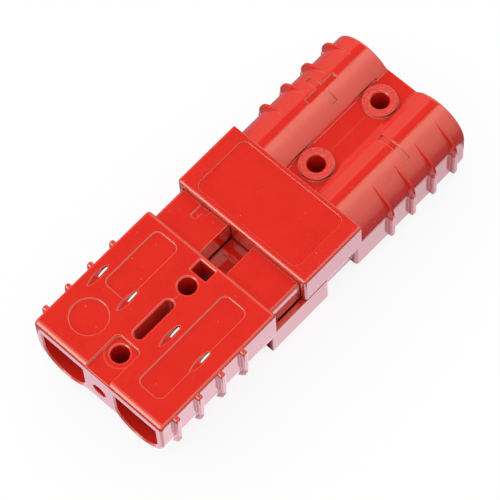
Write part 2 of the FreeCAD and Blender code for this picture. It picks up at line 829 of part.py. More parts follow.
def make_spring(doc, name, side):
    """Bowed strip: its crown bears on the blade, its ends on the finger, its tab in a groove."""
    body = doc.addObject("PartDesign::Body", name)
    body.Label = name
    place = barrel_place * side
    ends = size.channel_top - size.spring_clearance
    crown = blade_back + size.spring_clearance + size.spring_thickness
    half = (spring_end - spring_start) / 2
    middle = spring_start + half
    bow = ends - crown
    inner = (half * half + bow * bow) / (bow * 2)
    outer = inner + size.spring_thickness
    centre = (middle, crown + inner)
    strip = draw(body, "strip", "XZ_Plane", -place)
    curves = []
    for radius in (inner, outer):
        reach = math.asin(half.number / radius.number)
        down = 3 * math.pi / 2
        curve = arc(strip, centre, radius, down - reach, down + reach)
        pin(strip, curve, 3, *centre)
        constrain(strip, "Radius", (curve,), radius)
        constrain(strip, "DistanceX", (-1, 1, curve, 1), spring_start)
        constrain(strip, "DistanceX", (-1, 1, curve, 2), spring_end)
        curves.append(curve)
    low = ends.number - size.spring_thickness.number
    for x_place, vertex in ((spring_start, 1), (spring_end, 2)):
        end = line(strip, (x_place, ends), (x_place, low))
        meet(strip, "Coincident", curves[0], vertex, end, 1)
        meet(strip, "Coincident", curves[1], vertex, end, 2)
    pad(body, strip, size.spring_width, symmetric=True)
    tab = draw(body, "tab", "XZ_Plane", -place)
    root = ends - size.spring_thickness / 2
    tab_end = spring_start + size.spring_thickness
    add_rectangle(tab, spring_start, tab_end, root, size.channel_top + size.spring_tab)
    pad(body, tab, size.spring_width, symmetric=True)
    return body


def make_copy(doc, piece, name):
    """The far half's piece: a clone of the near half's, which follows it in every size."""
    body = doc.addObject("PartDesign::Body", name)
    body.Label = name
    clone = doc.addObject("PartDesign::FeatureBase", name + "_clone")
    body.Group = [clone]
    clone.BaseFeature = piece
    body.Tip = clone
    return body


def place_half(body, far):
    """Puts a piece where its half lies: the near half as drawn, the far half turned over."""
    sign = 1 if far else -1
    body.Placement = Placement(Vector(0, 0, 0), Rotation(Vector(0, 1, 0), 180 if far else 0))
    bind(body, "Placement.Base.x", size.pair_length / 2 * sign)
    bind(body, "Placement.Base.z", size.hood_height)


def check(doc, bodies):
    """Stops if any object failed or any piece is not one valid solid."""
    for item in doc.Objects:
        if {"Invalid", "Error"} & set(item.State):
            raise RuntimeError(f"{item.Name} failed: {item.State}")
    for body in bodies:
        shape = body.Shape
        if shape.isNull() or not shape.isValid() or len(shape.Solids) != 1:
            raise RuntimeError(f"{body.Label} is not one valid solid")


def main():
    doc = FreeCAD.newDocument("connector")
    make_sheet(doc)
    near = [make_housing(doc, "near_housing")]
    for pole, side in (("plus", 1), ("minus", -1)):
        near.append(make_contact(doc, f"near_contact_{pole}", side))
        near.append(make_spring(doc, f"near_spring_{pole}", side))
    far = [make_copy(doc, piece, piece.Label.replace("near", "far")) for piece in near]
    for piece in near + far:
        place_half(piece, piece in far)
    bodies = near + far
    doc.recompute()
    check(doc, bodies)
    os.makedirs("parts", exist_ok=True)
    for body in bodies:
        body.Shape.exportStep(f"parts/{body.Label}.step")
        print(body.Label, round(body.Shape.Volume, 1), "mm3")


main()
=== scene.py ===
import math

import bmesh
import bpy
import numpy as np
from mathutils import Matrix, Vector


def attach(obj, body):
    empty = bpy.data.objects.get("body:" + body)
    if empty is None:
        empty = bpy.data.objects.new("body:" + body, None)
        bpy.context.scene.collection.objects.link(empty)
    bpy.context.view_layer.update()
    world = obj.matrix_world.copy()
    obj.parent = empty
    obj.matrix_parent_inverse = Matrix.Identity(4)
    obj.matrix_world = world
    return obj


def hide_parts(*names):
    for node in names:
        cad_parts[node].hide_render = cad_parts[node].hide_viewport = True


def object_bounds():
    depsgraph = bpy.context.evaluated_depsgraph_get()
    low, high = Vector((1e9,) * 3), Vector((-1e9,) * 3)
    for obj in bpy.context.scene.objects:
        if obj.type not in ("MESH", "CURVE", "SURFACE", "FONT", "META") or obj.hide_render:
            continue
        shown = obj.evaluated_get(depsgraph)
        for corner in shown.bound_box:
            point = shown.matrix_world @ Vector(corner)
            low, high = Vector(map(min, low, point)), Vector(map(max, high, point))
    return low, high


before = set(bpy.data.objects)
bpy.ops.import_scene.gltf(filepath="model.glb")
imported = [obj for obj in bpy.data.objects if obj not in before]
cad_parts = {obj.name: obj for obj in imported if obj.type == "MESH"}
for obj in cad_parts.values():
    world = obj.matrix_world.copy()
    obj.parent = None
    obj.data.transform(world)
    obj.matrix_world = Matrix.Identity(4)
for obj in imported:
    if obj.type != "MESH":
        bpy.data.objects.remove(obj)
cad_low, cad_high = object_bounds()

# A mated pair of red two-pole power connector halves on a plain white studio floor. Lengths
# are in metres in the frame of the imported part: +X runs along the mating direction, and the
# near half, flat side up, lies at low X. A half's own frame is in millimetres: x from its rear
# face to its mating end, z up from the contacts' plane to its flat face, with the hood and the
# barrels below. The far half is the same, turned over.

MM = 0.001
REAR_FACE = cad_high.x
CONTACT_PLANE = 8.27 * MM
HALVES = {"near": 1, "far": -1}
MERGE_DISTANCE = 1e-7
SHARP_ANGLE = math.radians(40)
WHITE = (1.0, 1.0, 1.0, 1.0)


def link(piece):
    """Puts a new object into the scene."""
    bpy.context.scene.collection.objects.link(piece)
    return piece


def merged_copy(node, name):
    """Copies a node's mesh with its corners joined, each corner keeping its exact normal."""
    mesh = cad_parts[node].data.copy()
    mesh.name = name
    normals = np.empty(len(mesh.loops) * 3)
    mesh.corner_normals.foreach_get("vector", normals)
    exact = mesh.attributes.new("exact_normal", "FLOAT_VECTOR", "CORNER")
    exact.data.foreach_set("vector", normals)
    work = bmesh.new()
    work.from_mesh(mesh)
    bmesh.ops.remove_doubles(work, verts=work.verts, dist=MERGE_DISTANCE)
    work.to_mesh(mesh)
    work.free()
    normals = np.empty(len(mesh.loops) * 3)
    mesh.attributes["exact_normal"].data.foreach_get("vector", normals)
    mesh.polygons.foreach_set("use_smooth", np.ones(len(mesh.polygons), bool))
    mesh.normals_split_custom_set(normals.reshape(-1, 3))
    mesh.attributes.remove(mesh.attributes["exact_normal"])
    return link(bpy.data.objects.new(name, mesh))


def make_moulding(half, material):
    """Puts the plastic on a merged copy of a housing, which replaces the housing."""
    moulding = merged_copy(f"{half}_housing", f"{half}_moulding")
    moulding.data.materials.clear()
    moulding.data.materials.append(material)
    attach(moulding, f"{half}_half")
    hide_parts(f"{half}_housing")


def place_in_half(points, half):
    """Carries points from a half's own frame to the part's: x and z turn over for the far half."""
    side = HALVES[half]
    x, y, z = np.moveaxis(points * MM, -1, 0)
    return np.stack([side * (x - REAR_FACE), y, CONTACT_PLANE + side * z], -1)


def bar_faces(bars, steps):
    """Lists the quads of closed four-sided bars: round each step of a bar, then on its two ends."""
    corner = np.arange(4)
    here = np.arange(steps - 1)[:, None] * 4 + corner
    beside = np.arange(steps - 1)[:, None] * 4 + (corner + 1) % 4
    sides = np.stack([here, here + 4, beside + 4, beside], -1).reshape(-1, 4)
    ends = np.stack([corner, (steps - 1) * 4 + corner[::-1]])
    one_bar = np.concatenate([sides, ends])
    return (one_bar + np.arange(bars)[:, None, None] * steps * 4).reshape(-1, 4)


def make_bars(name, points, material, half):
    """Makes one piece of closed bars that rides on a half, its faces pointing outwards.

    The points lie in the half's own frame and are counted by bar, step along it and corner.
    """
    bars, steps = points.shape[:2]
    mesh = bpy.data.meshes.new(name)
    vertices = place_in_half(points, half).reshape(-1, 3)
    mesh.from_pydata(vertices.tolist(), [], bar_faces(bars, steps).tolist())
    work = bmesh.new()
    work.from_mesh(mesh)
    bmesh.ops.recalc_face_normals(work, faces=work.faces)
    work.to_mesh(mesh)
    work.free()
    mesh.set_sharp_from_angle(angle=SHARP_ANGLE)
    mesh.materials.append(material)
    piece = link(bpy.data.objects.new(name, mesh))
    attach(piece, f"{half}_half")


# Springs' tabs, which show as bright strips in the four slits of a flat face
SLIT_ROWS = (14.9, 6.7, -4.9, -13.1)
TAB_START = 15.95
TAB_END = 18.45
TAB_WIDTH = 0.42
TAB_END_WIDTH = 0.7
TAB_SHIFT = -0.1
TAB_CROWN = 7.5
TAB_SAG = 0.35
TAB_FOOT = 5.6
TAB_LEAN = math.radians(12)
TAB_STEPS = 20


def make_tabs(half, material):
    """Four upright plates that stand in the pits of the slits, one closed bar each.

    The top edge's height is the crown less the sag times the square of the distance from the
    front end, as a share of the length, and it leans across the width. The width falls from
    the whole to a share of it at both ends by the root of a half sine. The foot is level.
    """
    share = np.linspace(0, 1, TAB_STEPS)
    x = TAB_START + (TAB_END - TAB_START) * share
    height = TAB_CROWN - TAB_SAG * (1 - share) ** 2
    width = TAB_WIDTH * (TAB_END_WIDTH + (1 - TAB_END_WIDTH) * np.sin(np.pi * share) ** 0.5)
    across = np.array([-0.5, 0.5, 0.5, -0.5]) * width[:, None]
    upper = np.array([True, True, False, False])
    y = np.array(SLIT_ROWS)[:, None, None] + TAB_SHIFT + across
    z = np.where(upper, height[:, None] + across * math.tan(TAB_LEAN), TAB_FOOT)
    points = np.stack(np.broadcast_arrays(x[:, None], y, z), -1)
    make_bars(f"{half}_spring_tabs", points, material, half)


# Barrels and the fins that stand on them
BARREL_RADIUS = 7.5
BARREL_PLACE = 9.95
BARREL_LEVEL = -0.62
FIN_START = 4.0
FIN_PITCH = 6.4
FIN_COUNT = 4
FIN_FROM = math.radians(22)
FIN_TO = math.radians(89)
FIN_HEIGHT = 1.0
FIN_BULGE = 0.36
FIN_SUNK = 0.15
FIN_FOOT_HALF = 0.5
FIN_RIDGE_HALF = 0.26
FIN_TIP_WIDTH = 0.25
FIN_WIDENING = 3.0
FIN_STEPS = 48


def make_fins(half, material):
    """Eight crescent plates that stand on the barrels, one closed bar each.

    At an angle from the barrel's crest towards the side wall, a plate's height over the barrel
    is its full height times the sine of a quarter turn of the share of the way, plus a bulge
    times the share's half sine. Its section is a trapezium, as wide at the barrel as the foot
    and narrower at the ridge, and its foot is sunk into the barrel. The width grows evenly from
    a share of the whole at the tip.
    """
    share = np.linspace(0, 1, FIN_STEPS)
    angle = (FIN_FROM + (FIN_TO - FIN_FROM) * share)[:, None]
    height = FIN_HEIGHT * np.sin(share * np.pi / 2) + FIN_BULGE * np.sin(share * np.pi)
    half_width = np.array([FIN_FOOT_HALF, FIN_RIDGE_HALF, -FIN_RIDGE_HALF, -FIN_FOOT_HALF])
    upper = np.array([0.0, 1.0, 1.0, 0.0])
    narrowing = np.minimum(1.0, FIN_TIP_WIDTH + share * FIN_WIDENING)[:, None]
    radius = BARREL_RADIUS - FIN_SUNK + (height[:, None] + FIN_SUNK) * upper
    places = FIN_START + FIN_PITCH * np.arange(FIN_COUNT)
    place, side = (grid.reshape(-1, 1, 1) for grid in np.meshgrid(places, (1, -1), indexing="ij"))
    x = place + half_width * narrowing
    y = side * (BARREL_PLACE + radius * np.sin(angle))
    z = BARREL_LEVEL - radius * np.cos(angle)
    points = np.stack(np.broadcast_arrays(x, y, z), -1)
    make_bars(f"{half}_barrel_fins", points, material, half)


class Shading:
    """The nodes of a material or of the world, with short ways to add and join them."""

    def __init__(self, owner):
        owner.use_nodes = True
        self.nodes = owner.node_tree.nodes
        self.links = owner.node_tree.links

    def put(self, socket, value):
        """Joins a node's output to a socket, or sets the socket to a constant."""
        if isinstance(value, bpy.types.NodeSocket):
            self.links.new(value, socket)
        else:
            socket.default_value = value

    def fill(self, sockets, *values):
        """Puts values into the first sockets, in order."""
        for socket, value in zip(sockets, values):
            self.put(socket, value)

    def set(self, node, **values):
        """Puts values into a node's named sockets, an underscore standing for a space."""
        for name, value in values.items():
            self.put(node.inputs[name.replace("_", " ")], value)
        return node

    def add(self, kind, **values):
        """Adds a node and puts values into its named sockets."""
        return self.set(self.nodes.new(kind), **values)

    def math(self, operation, first, second=0.0):
        """Works out one operation on two numbers."""
        node = self.nodes.new("ShaderNodeMath")
        node.operation = operation
        self.fill(node.inputs, first, second)
        return node.outputs[0]

    def product(self, first, *others):
        """Multiplies signals."""
        for other in others:
            first = self.math("MULTIPLY", first, other)
        return first

    def opposite(self, value):
        """One less a signal."""
        return self.math("SUBTRACT", 1.0, value)

    def ranged(self, value, from_low, from_high, low=0.0, high=1.0):
        """Spreads one range over another, clamped at its ends."""
        names = ("From Min", "From Max", "To Min", "To Max", "Value")
        node = self.nodes.new("ShaderNodeMapRange")
        self.fill([node.inputs[name] for name in names], from_low, from_high, low, high, value)
        return node.outputs["Result"]

    def above(self, value, place, soft):
        """0 up to a place, rising to 1 over the soft length past it."""
        return self.ranged(value, place, place + soft)

    def below(self, value, place, soft):
        """1 up to a place, falling to 0 over the soft length past it."""
        return self.ranged(value, place, place + soft, 1.0, 0.0)

    def within(self, value, low, high, soft):
        """1 between two places, falling to 0 over the soft length outside them."""
        return self.product(self.above(value, low - soft, soft), self.below(value, high, soft))

    def around(self, value, place, reach, soft):
        """1 up to a reach on both sides of a place, falling to 0 over the soft length."""
        return self.within(value, place - reach, place + reach, soft)

    def mix(self, factor, first, second):
        """Mixes two colours."""
        node = self.nodes.new("ShaderNodeMix")
        node.data_type = "RGBA"
        self.fill([node.inputs[name] for name in ("Factor", "A", "B")], factor, first, second)
        return node.outputs["Result"]

    def blend(self, factor, first, second):
        """Mixes two shaders."""
        node = self.nodes.new("ShaderNodeMixShader")
        self.fill(node.inputs, factor, first.outputs[0], second.outputs[0])
        return node

    def vector(self, operation, output, *values):
        """Works out one operation on vectors."""
        node = self.nodes.new("ShaderNodeVectorMath")
        node.operation = operation
        self.fill(node.inputs, *values)
        return node.outputs[output]

    def scaled(self, place, factors, shift=(0.0, 0.0, 0.0)):
        """Multiplies a vector by factors, one for each axis, and adds a shift."""
        return self.vector("MULTIPLY_ADD", "Vector", place, factors, shift)

    def noise(self, place, scale, detail, roughness=0.5):
        """Cloudy noise from 0 to 1."""
        values = {"Vector": place, "Scale": scale, "Detail": detail, "Roughness": roughness}
        return self.add("ShaderNodeTexNoise", **values).outputs["Fac"]

    def bump(self, height, depth, normal=None):
        """Raises the surface by a height signal, where 1 stands for the depth in millimetres."""
        node = self.add("ShaderNodeBump", Height=height, Distance=depth * MM)
        if normal is not None:
            self.put(node.inputs["Normal"], normal)
        return node.outputs["Normal"]

    def split(self, vector):
        """Returns a vector's x, y and z."""
        return self.add("ShaderNodeSeparateXYZ", Vector=vector).outputs

    def object_place(self):
        """Returns the place in the part's frame, in metres."""
        return self.nodes.new("ShaderNodeTexCoord").outputs["Object"]

    def half_place(self, half):
        """Returns the place in the half's own frame, in millimetres."""
        side = HALVES[half]
        shift = (REAR_FACE / MM, 0, -side * CONTACT_PLANE / MM)
        return self.scaled(self.object_place(), (side / MM, 1 / MM, side / MM), shift)


# Red plastic's colours
RED = (0.83, 0.0265, 0.0160, 1.0)
RED_DEEP = (0.79, 0.0215, 0.0130, 1.0)
RED_DULL = (0.74, 0.0420, 0.0280, 1.0)
# Pale red for flecks, dust and the crescent round the rear hole, and for painted highlights on
# edges
RED_PALE_AND_HIGHLIGHT = (1.0, 0.19, 0.13, 1.0)
RED_SHADE = (0.05, 0.006, 0.007, 1.0)
# Painted highlight along the parting line where a barrel leaves the side wall
PARTING_HIGHLIGHT = (0.95, 0.50, 0.48, 1.0)

# Where its marks lie, in millimetres of a half's own frame
WALL_PLACE = 17.45
WEB_FACE = -4.8
WEB_LINE_X = (10.6, 22.2)
WEB_LINE_REACH = 0.1
FLAT_LINE_X = (21.8, 24.0)
LINE_HALF = 0.05
BOSS_PLACES = (6.7, 26.15)
SEAT_RING = (3.15, 3.3)
SEAT_FACE = 7.05
HOOD_INNER_X = (32.3, 47.7)
JOIN_Z = (BARREL_LEVEL - 0.15, BARREL_LEVEL + 0.12)

# How softly they end
SOFT = 0.1
FINE_SOFT = 0.05
MIDDLE_SOFT = 0.06
SEAT_SOFT = 0.15

# Where a mark rises or falls, and the soft length past there
FIN_MARK_HALF = (0.6, 0.1)
FIN_MARK_ROUND = (BARREL_RADIUS + 0.02, 0.1)
FIN_MARK_X = (24.0, 0.1)
FIN_MARK_Y = (11.5, 1.0)
FIN_MARK_Z = (-1.0, 0.2)
GRIP_Y = (WALL_PLACE + 0.05, 0.1)
WEB_Y = (7.0, 0.5)
WEB_Z = (-3.2, 0.2)
HOOD_INNER_Y = (14.3, 0.1)
HOOD_INNER_Z = (-7.57, 0.1)
HOOD_RIM_Z = (-8.22, 0.05)
BOSS_ROUND = (3.7, 0.05)
BOSS_TOP_Z = (-5.45, 0.05)
FLAT_LINE_Z = (7.53, 0.05)
SEAT_X = (5.2, 2.0)
JOIN_INNER_Y = (WALL_PLACE - 0.15, 0.1)
JOIN_OUTER_Y = (WALL_PLACE + 0.02, 0.08)

# How its signals spread: between two limits, and onto two where those aren't 0 and 1
FLOW_SPREAD = (0.35, 0.7)
MOTTLE_SPREAD = (0.48, 0.68, 0.0, 0.6)
CREVICE_SHADE_SPREAD = (0.04, 0.55)
EDGE_HIGHLIGHT_SPREAD = (0.99, 0.78, 0.0, 0.75)
FLECK_SPREAD = (0.52, 0.66)
DUST_SPREAD = (0.78, 0.81)
POLISH_SPREAD = (0.3, 0.7, 0.05, 0.09)
MATT_SPREAD = (0.3, 0.7, 0.1, 0.3)
COAT_SPREAD = (0.1, 0.6, 0.15, 1.0)

# How strong its marks are, and lengths in millimetres
EDGE_RADIUS = 0.27
FINE_EDGE = 0.07
EDGE_SAMPLES = 12
CREVICE_REACH = 2.5
CREVICE_SAMPLES = 8
HOOD_FINENESS = 0.8
GRIP_SPARED = 0.6
WEB_SPARED = 0.7
BOSS_SANDED = 0.7
HOOD_SANDED = 0.12
LEAST_GRIT = 0.02
GRIT_DEPTH = 0.12
FLECK_SHARE = 0.55
RIPPLE_DEPTH = 0.007
DUST_SHARE = 0.7
DUST_DEPTH = 0.04
LINE_DEPTH = 0.07
SEAT_SHARE = 0.3
JOIN_HIGHLIGHT_SHARE = 0.8
FIN_COAT_LOSS = 0.9


def mark_fins(look, x, outwards, z):
    """1 on the barrels' fins: near a fin's middle, and farther from the axis than the barrel."""
    from_fin = look.math("PINGPONG", look.math("SUBTRACT", x, FIN_START), FIN_PITCH / 2)
    across = look.math("POWER", look.math("SUBTRACT", outwards, BARREL_PLACE), 2.0)
    upwards = look.math("POWER", look.math("SUBTRACT", z, BARREL_LEVEL), 2.0)
    from_axis = look.math("SQRT", look.math("ADD", across, upwards))
    return look.product(
        look.below(from_fin, *FIN_MARK_HALF),
        look.above(from_axis, *FIN_MARK_ROUND),
        look.above(outwards, *FIN_MARK_Y),
        look.below(x, *FIN_MARK_X),
        look.below(z, *FIN_MARK_Z),
    )


def mark_inner_hood(look, x, outwards, z):
    """1 on the hood's plate between its side walls."""
    return look.product(
        look.within(x, *HOOD_INNER_X, SOFT),
        look.below(outwards, *HOOD_INNER_Y),
        look.below(z, *HOOD_INNER_Z),
    )


def mark_bosses(look, from_rear, from_front, z):
    """1 on the tops of the two bosses: near either one's axis, and past the level of a top."""
    nearest = look.math("MINIMUM", from_rear, from_front)
    return look.product(look.below(nearest, *BOSS_ROUND), look.below(z, *BOSS_TOP_Z))


def mark_middle_lines(look, x, y, z):
    """1 on the mould lines of the flat face and of the web between the barrels."""
    middle = look.around(y, 0.0, LINE_HALF, MIDDLE_SOFT)
    at_flat = look.above(z, *FLAT_LINE_Z)
    at_web = look.around(z, WEB_FACE, WEB_LINE_REACH, FINE_SOFT)
    on_flat = look.product(at_flat, look.within(x, *FLAT_LINE_X, FINE_SOFT))
    on_web = look.product(at_web, look.within(x, *WEB_LINE_X, FINE_SOFT))
    return look.product(middle, look.math("ADD", on_flat, on_web))


def mark_join(look, outwards, z):
    """1 on the mould line where a barrel leaves the side wall."""
    return look.product(
        look.within(z, *JOIN_Z, FINE_SOFT),
        look.above(outwards, *JOIN_INNER_Y),
        look.below(outwards, *JOIN_OUTER_Y),
    )


def mark_seat(look, from_rear, x, z):
    """1 on a crescent of the ring round the rear hole of the flat face, on its rear side."""
    return look.product(
        look.within(from_rear, *SEAT_RING, SEAT_SOFT),
        look.around(z, SEAT_FACE, LINE_HALF, FINE_SOFT),
        look.below(x, *SEAT_X),
    )


def moulded_red(half):
    """Glossy red plastic: flow marks, sanded boss tops and hood rim, mould lines, painted shade in
    crevices and painted highlights on edges and on a parting line.
    """
    material = bpy.data.materials.new(f"moulded_red_{half}")
    look = Shading(material)
    plastic = look.nodes["Principled BSDF"]
    look.set(plastic, IOR=1.5, Coat_Roughness=0.05, Coat_IOR=1.55)
    place = look.half_place(half)
    x, y, z = look.split(place)
    outwards = look.math("ABSOLUTE", y)
    flow = look.noise(place, scale=0.16, detail=3.0)
    fine = look.noise(place, scale=3.2, detail=3.0, roughness=0.6)
    mottle = look.noise(place, scale=1.9, detail=4.0, roughness=0.75)
    grit = look.noise(place, scale=2.6, detail=2.0, roughness=0.7)
    from_rear, from_front = (
        look.vector("LENGTH", "Value", look.scaled(place, (1, 1, 0), (-centre, 0, 0)))
        for centre in BOSS_PLACES
    )

    # Fins, grip ribs and the hood's plate keep crisper edges than the rest
    fin = mark_fins(look, x, outwards, z)
    grip = look.math("MAXIMUM", fin, look.above(outwards, *GRIP_Y))
    inner_hood = mark_inner_hood(look, x, outwards, z)
    fineness = look.math("MAXIMUM", grip, look.product(inner_hood, HOOD_FINENESS))
    radius = look.ranged(fineness, 0.0, 1.0, EDGE_RADIUS * MM, FINE_EDGE * MM)
    edge = look.add("ShaderNodeBevel", Radius=radius)
    edge.samples = EDGE_SAMPLES

    # Painted highlight: edges are painted paler, less so on the grip and low between the barrels
    true_normal = look.nodes.new("ShaderNodeNewGeometry").outputs["Normal"]
    turn = look.vector("DOT_PRODUCT", "Value", edge.outputs["Normal"], true_normal)
    web = look.product(look.below(z, *WEB_Z), look.below(outwards, *WEB_Y))
    spared = look.math("MAXIMUM", look.product(grip, GRIP_SPARED), look.product(web, WEB_SPARED))
    edge_highlight = look.product(look.ranged(turn, *EDGE_HIGHLIGHT_SPREAD), look.opposite(spared))

    # The plastic's colour, with painted shade: darker in crevices, holes and the slot
    crevice = look.add("ShaderNodeAmbientOcclusion", Distance=CREVICE_REACH * MM)
    crevice.samples = CREVICE_SAMPLES
    open_share = crevice.outputs["AO"]
    colour = look.mix(look.ranged(flow, *FLOW_SPREAD), RED, RED_DEEP)
    colour = look.mix(look.ranged(mottle, *MOTTLE_SPREAD), colour, RED_DULL)
    colour = look.mix(look.ranged(open_share, *CREVICE_SHADE_SPREAD), RED_SHADE, colour)
    colour = look.mix(edge_highlight, colour, RED_PALE_AND_HIGHLIGHT)

    # Sanded faces: the tops of the bosses and the raised rim of the hood
    boss = mark_bosses(look, from_rear, from_front, z)
    hood = look.below(z, *HOOD_RIM_Z)
    boss_sanded = look.product(boss, BOSS_SANDED)
    sanded = look.math("MAXIMUM", boss_sanded, look.product(hood, HOOD_SANDED))
    grit = look.product(grit, look.math("ADD", sanded, LEAST_GRIT))
    normal = look.bump(grit, GRIT_DEPTH, edge.outputs["Normal"])
    flecks = look.product(look.ranged(fine, *FLECK_SPREAD), sanded, FLECK_SHARE)
    colour = look.mix(flecks, colour, RED_PALE_AND_HIGHLIGHT)

    # Slow ripples and dust
    normal = look.bump(look.noise(place, scale=0.45, detail=1.0), RIPPLE_DEPTH, normal)
    dust = look.ranged(look.noise(place, scale=1.7, detail=1.0), *DUST_SPREAD)
    normal = look.bump(dust, DUST_DEPTH, normal)
    colour = look.mix(look.product(dust, DUST_SHARE), colour, RED_PALE_AND_HIGHLIGHT)

    # Mould lines with a painted highlight along the barrels' parting line, and a paler crescent
    # round the rear hole
    join = mark_join(look, outwards, z)
    lines = look.math("ADD", mark_middle_lines(look, x, y, z), join)
    normal = look.bump(lines, LINE_DEPTH, normal)
    seat = mark_seat(look, from_rear, x, z)
    colour = look.mix(look.product(seat, SEAT_SHARE), colour, RED_PALE_AND_HIGHLIGHT)
    # Painted highlight: the parting line is painted pale
    colour = look.mix(look.product(join, JOIN_HIGHLIGHT_SHARE), colour, PARTING_HIGHLIGHT)

    matt = look.product(sanded, look.ranged(fine, *MATT_SPREAD))
    polish = look.math("ADD", look.ranged(flow, *POLISH_SPREAD), matt)
    fin_coat = look.opposite(look.product(fin, FIN_COAT_LOSS))
    coat = look.product(look.ranged(open_share, *COAT_SPREAD), fin_coat)
    look.set(plastic, Base_Color=colour, Roughness=polish, Coat_Weight=coat)
    look.set(plastic, Normal=normal, Coat_Normal=normal)
    return material


# Metals, with their marks' waves for each metre along and across
SILVER = (0.90, 0.88, 0.84, 1.0)
SILVER_WARM = (0.78, 0.70, 0.58, 1.0)
TARNISH_SCALE = 260.0
TARNISH_SPREAD = (0.4, 0.8, 0.0, 0.6)
SILVER_ROUGHNESS = (0.3, 0.7, 0.14, 0.3)
DRAWN_MARKS = (60.0, 2400.0, 2400.0)
DRAWN_DEPTH = 0.01
STEEL = (0.68, 0.66, 0.65, 1.0)
STEEL_DARK = (0.56, 0.55, 0.54, 1.0)
# The tabs are the springs' own steel with a pink tint painted in, standing in for a pinkish
# reflection
TAB_STEEL_PINK_REFLECTION = (0.96, 0.58, 0.70, 1.0)
TAB_STEEL_DARK_PINK_REFLECTION = (0.84, 0.46, 0.56, 1.0)
STEEL_ROUGHNESS = (0.2, 0.8, 0.16, 0.28)
ROLLED_MARKS = (150.0, 5000.0, 5000.0)
ROLLED_DEPTH = 0.008


def silver_plate():
    """Silver plating over copper, with drawn marks and a faint warm tarnish."""
    material = bpy.data.materials.new("silver_plate")
    look = Shading(material)
    place = look.object_place()
    tarnish = look.noise(place, TARNISH_SCALE, detail=4.0)
    drawn = look.noise(look.scaled(place, DRAWN_MARKS), 1.0, detail=2.0)
    look.set(
        look.nodes["Principled BSDF"],
        Base_Color=look.mix(look.ranged(tarnish, *TARNISH_SPREAD), SILVER, SILVER_WARM),
        Metallic=1.0,
        Roughness=look.ranged(tarnish, *SILVER_ROUGHNESS),
        Normal=look.bump(drawn, DRAWN_DEPTH),
    )
    return material


def rolled_strip(name, light, dark):
    """Rolled spring strip with fine lines along its length."""
    material = bpy.data.materials.new(name)
    look = Shading(material)
    rolled = look.noise(look.scaled(look.object_place(), ROLLED_MARKS), 1.0, detail=2.0)
    look.set(
        look.nodes["Principled BSDF"],
        Base_Color=look.mix(rolled, light, dark),
        Metallic=1.0,
        Roughness=look.ranged(rolled, *STEEL_ROUGHNESS),
        Normal=look.bump(rolled, ROLLED_DEPTH),
    )
    return material


silver = silver_plate()
stainless = rolled_strip("stainless_strip", STEEL, STEEL_DARK)
tab_strip_pink_reflection = rolled_strip("tab_strip_pink_reflection", TAB_STEEL_PINK_REFLECTION, TAB_STEEL_DARK_PINK_REFLECTION)

for half in HALVES:
    plastic = moulded_red(half)
    make_moulding(half, plastic)
    make_tabs(half, tab_strip_pink_reflection)
    make_fins(half, plastic)
    for pole in ("plus", "minus"):
        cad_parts[f"{half}_contact_{pole}"].data.materials[0] = silver
        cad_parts[f"{half}_spring_{pole}"].data.materials[0] = stainless

# Floor: white to the eye, with the part's soft shadow. In the gloss of the part's walls it
# shows as a bright card a little larger than the part, on a dim table.
FLOOR_HALF = 2.0
FLOOR_WHITE = 0.88
FLOOR_LIT = (0.97, 0.97, 0.97, 1.0)
FLOOR_BOUNCE = (0.16, 0.16, 0.16, 1.0)
CARD_X = (-0.053, 0.047)
CARD_Y = (-0.0234, 0.021)
CARD_SOFT = 0.0008
CARD_GLOW = (1.50, 1.27, 1.42, 1.0)
CARD_NEAR = 1.15
CARD_FAR = 0.68
CARD_REAR = 0.65
REAR_END = (-0.0465, -0.0445)
TABLE_GLOW = (0.24, 0.24, 0.25, 1.0)
TABLE_DARK = (0.15, 0.15, 0.16, 1.0)
TABLE_AWAY = (0.58, 0.60, 0.60, 1.0)
AWAY_Y = (-0.16, -0.026)
SHADE_REACH = 0.03
SHADE_SPREAD = (0.26, 0.42)


def glowing_card(look):
    """The floor as gloss sees it: the table and the card, which dims towards its far end; both are
    painted darker where the part shades them.
    """
    x, y, _ = look.split(look.object_place())
    card = look.product(look.within(x, *CARD_X, CARD_SOFT), look.within(y, *CARD_Y, CARD_SOFT))
    # Painted shadow: the glow is dimmed by occlusion under and beside the part
    shade = look.add("ShaderNodeAmbientOcclusion", Distance=SHADE_REACH)
    open_sky = look.ranged(shade.outputs["AO"], *SHADE_SPREAD)
    table = look.mix(look.ranged(y, *CARD_Y), TABLE_DARK, TABLE_GLOW)
    table = look.mix(look.ranged(y, *AWAY_Y), TABLE_AWAY, table)
    along = look.product(
        look.ranged(x, *CARD_X, CARD_NEAR, CARD_FAR),
        look.ranged(x, *REAR_END, CARD_REAR, 1.0),
    )
    level = look.math("ADD", look.product(card, look.math("SUBTRACT", along, 1.0)), 1.0)
    return look.add(
        "ShaderNodeEmission",
        Color=look.mix(card, table, CARD_GLOW),
        Strength=look.product(open_sky, level),
    )


def studio_floor():
    """White to the eye, the card in gloss, and dim to other rays, so that little light rises."""
    material = bpy.data.materials.new("studio_floor")
    look = Shading(material)
    look.nodes.remove(look.nodes["Principled BSDF"])
    path = look.nodes.new("ShaderNodeLightPath")
    bounce = look.add("ShaderNodeBsdfDiffuse", Color=FLOOR_BOUNCE)
    lit = look.add("ShaderNodeBsdfDiffuse", Color=FLOOR_LIT)
    white = look.add("ShaderNodeEmission", Color=WHITE)
    seen = look.blend(FLOOR_WHITE, lit, white)
    seen = look.blend(path.outputs["Is Camera Ray"], bounce, seen)
    seen = look.blend(path.outputs["Is Glossy Ray"], seen, glowing_card(look))
    look.set(look.nodes["Material Output"], Surface=seen.outputs[0])
    material.cycles.emission_sampling = "NONE"
    return material


